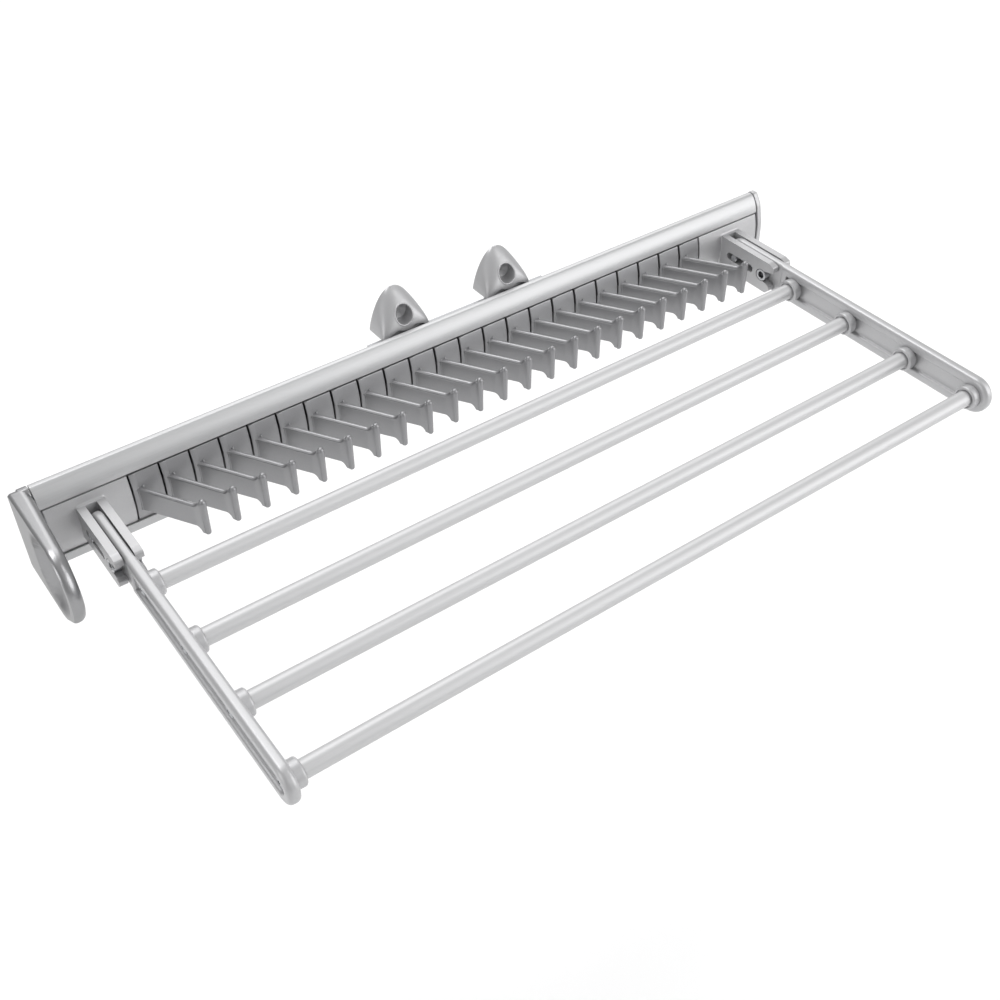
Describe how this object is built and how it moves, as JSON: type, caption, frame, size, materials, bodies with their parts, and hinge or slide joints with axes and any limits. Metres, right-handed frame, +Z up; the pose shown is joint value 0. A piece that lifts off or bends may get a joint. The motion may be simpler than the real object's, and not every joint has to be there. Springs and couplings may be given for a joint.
{
  "type": "tie and trouser rack",
  "caption": "Pull-out tie and trouser rack for a wardrobe's side wall: a sliding beam with slanted hooks and a drop-down frame of trouser rods.",
  "frame": {"origin": "midway between the two wall screw holes, on the face that lies against the wardrobe's side wall", "axes": "+X along the beam away from the handle, +Y into the wall, +Z up"},
  "size_m": [0.5158, 0.2454, 0.0704],
  "materials": {
    "satin_aluminium": "satin anodised extrusion",
    "satin_tube": "satin anodised tube",
    "track_aluminium": "mill finish extrusion",
    "silver_casting": "satin silver paint on a zinc casting",
    "silver_handle": "satin silver paint on a zinc casting",
    "silver_moulding": "silver painted moulding",
    "silver_hooks": "silver painted moulding",
    "steel": "turned steel",
    "zinc_screws": "zinc plated",
    "glide_plastic": "acetal",
    "dark_plastic": "moulded"
  },
  "bodies": {
    "wall_mount": {"bracket_front": "silver_casting", "bracket_rear": "silver_casting", "runner_track": "track_aluminium", "glide_upper": "glide_plastic", "glide_lower": "glide_plastic", "track_screws": "zinc_screws"},
    "beam": {"beam_profile": "satin_aluminium", "beam_stops": "dark_plastic", "front_handle": "silver_handle", "rear_cap": "silver_moulding", "clevis_left": "silver_casting", "clevis_right": "silver_casting", "stop_bushes_left": "steel", "stop_bushes_right": "steel", "tie_hook_01": "silver_hooks", "tie_hook_02": "silver_hooks", "tie_hook_03": "silver_hooks", "tie_hook_04": "silver_hooks", "tie_hook_05": "silver_hooks", "tie_hook_06": "silver_hooks", "tie_hook_07": "silver_hooks", "tie_hook_08": "silver_hooks", "tie_hook_09": "silver_hooks", "tie_hook_10": "silver_hooks", "tie_hook_11": "silver_hooks", "tie_hook_12": "silver_hooks", "tie_hook_13": "silver_hooks", "tie_hook_14": "silver_hooks", "tie_hook_15": "silver_hooks", "tie_hook_16": "silver_hooks", "tie_hook_17": "silver_hooks", "tie_hook_18": "silver_hooks", "tie_hook_19": "silver_hooks", "tie_hook_20": "silver_hooks", "tie_hook_21": "silver_hooks", "tie_hook_22": "silver_hooks", "tie_hook_23": "silver_hooks"},
    "hinge_pins": {"hinge_pin_left": "steel", "hinge_pin_right": "steel"},
    "trouser_frame": {"arm_left": "silver_casting", "arm_right": "silver_casting", "trouser_rod_1": "satin_tube", "trouser_rod_2": "satin_tube", "trouser_rod_3": "satin_tube", "trouser_rod_4": "satin_tube", "rod_collar_left_1": "silver_moulding", "rod_collar_left_2": "silver_moulding", "rod_collar_left_3": "silver_moulding", "rod_collar_left_4": "silver_moulding", "rod_collar_right_1": "silver_moulding", "rod_collar_right_2": "silver_moulding", "rod_collar_right_3": "silver_moulding", "rod_collar_right_4": "silver_moulding", "rod_plugs_left": "dark_plastic", "rod_plugs_right": "dark_plastic", "rod_screws_left": "zinc_screws", "rod_screws_right": "zinc_screws"}
  },
  "joints": [
    {"name": "beam_pull_out", "type": "slide", "parent": "wall_mount", "child": "beam", "axis": [-1, 0, 0], "range_m": [-0.177, 0.143]},
    {"name": "frame_pull_out", "type": "slide", "parent": "beam", "child": "hinge_pins", "axis": [0, -1, 0], "range_m": [0, 0.0153]},
    {"name": "trouser_frame_drop", "type": "hinge", "parent": "hinge_pins", "child": "trouser_frame", "pos_m": [0, -0.0442, -0.0337], "axis": [1, 0, 0], "range_deg": [0, 90]}
  ]
}
